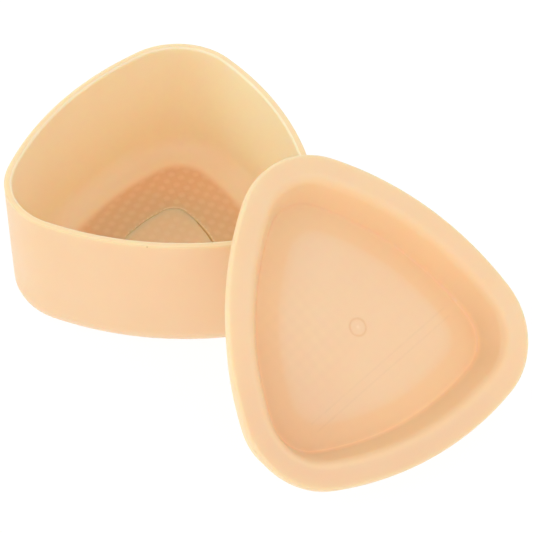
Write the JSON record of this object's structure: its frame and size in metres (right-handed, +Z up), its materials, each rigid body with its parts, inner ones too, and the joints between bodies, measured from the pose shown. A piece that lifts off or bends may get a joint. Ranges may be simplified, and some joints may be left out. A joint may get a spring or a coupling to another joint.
{
  "type": "rice ball mould press",
  "caption": "Rounded-triangle rice ball mould: a deep tub with a push-out flap in its floor and a flanged press lid leaning against it.",
  "frame": {"origin": "centre of the tub's flat underside, the face it stands on", "axes": "+Z up out of the tub's mouth, +Y towards one corner of the tub, +X to the right when that corner is at the back"},
  "size_m": [0.1316, 0.127, 0.055],
  "materials": {
    "cream_plastic": "cream peach translucent polypropylene, satin outside, finely textured inside"
  },
  "bodies": {
    "tub": {"mould_tub": "cream_plastic"},
    "flap": {"push_out_flap": "cream_plastic"},
    "lid": {"press_lid": "cream_plastic"}
  },
  "joints": [
    {"name": "flap_hinge", "type": "hinge", "parent": "tub", "child": "flap", "pos_m": [0, -0.009, 0.002], "axis": [1, 0, 0], "range_deg": [0, 25]},
    {"name": "lid_lift", "type": "slide", "parent": "tub", "child": "lid", "axis": [0, 0, 1], "range_m": [0, 0.07]}
  ]
}
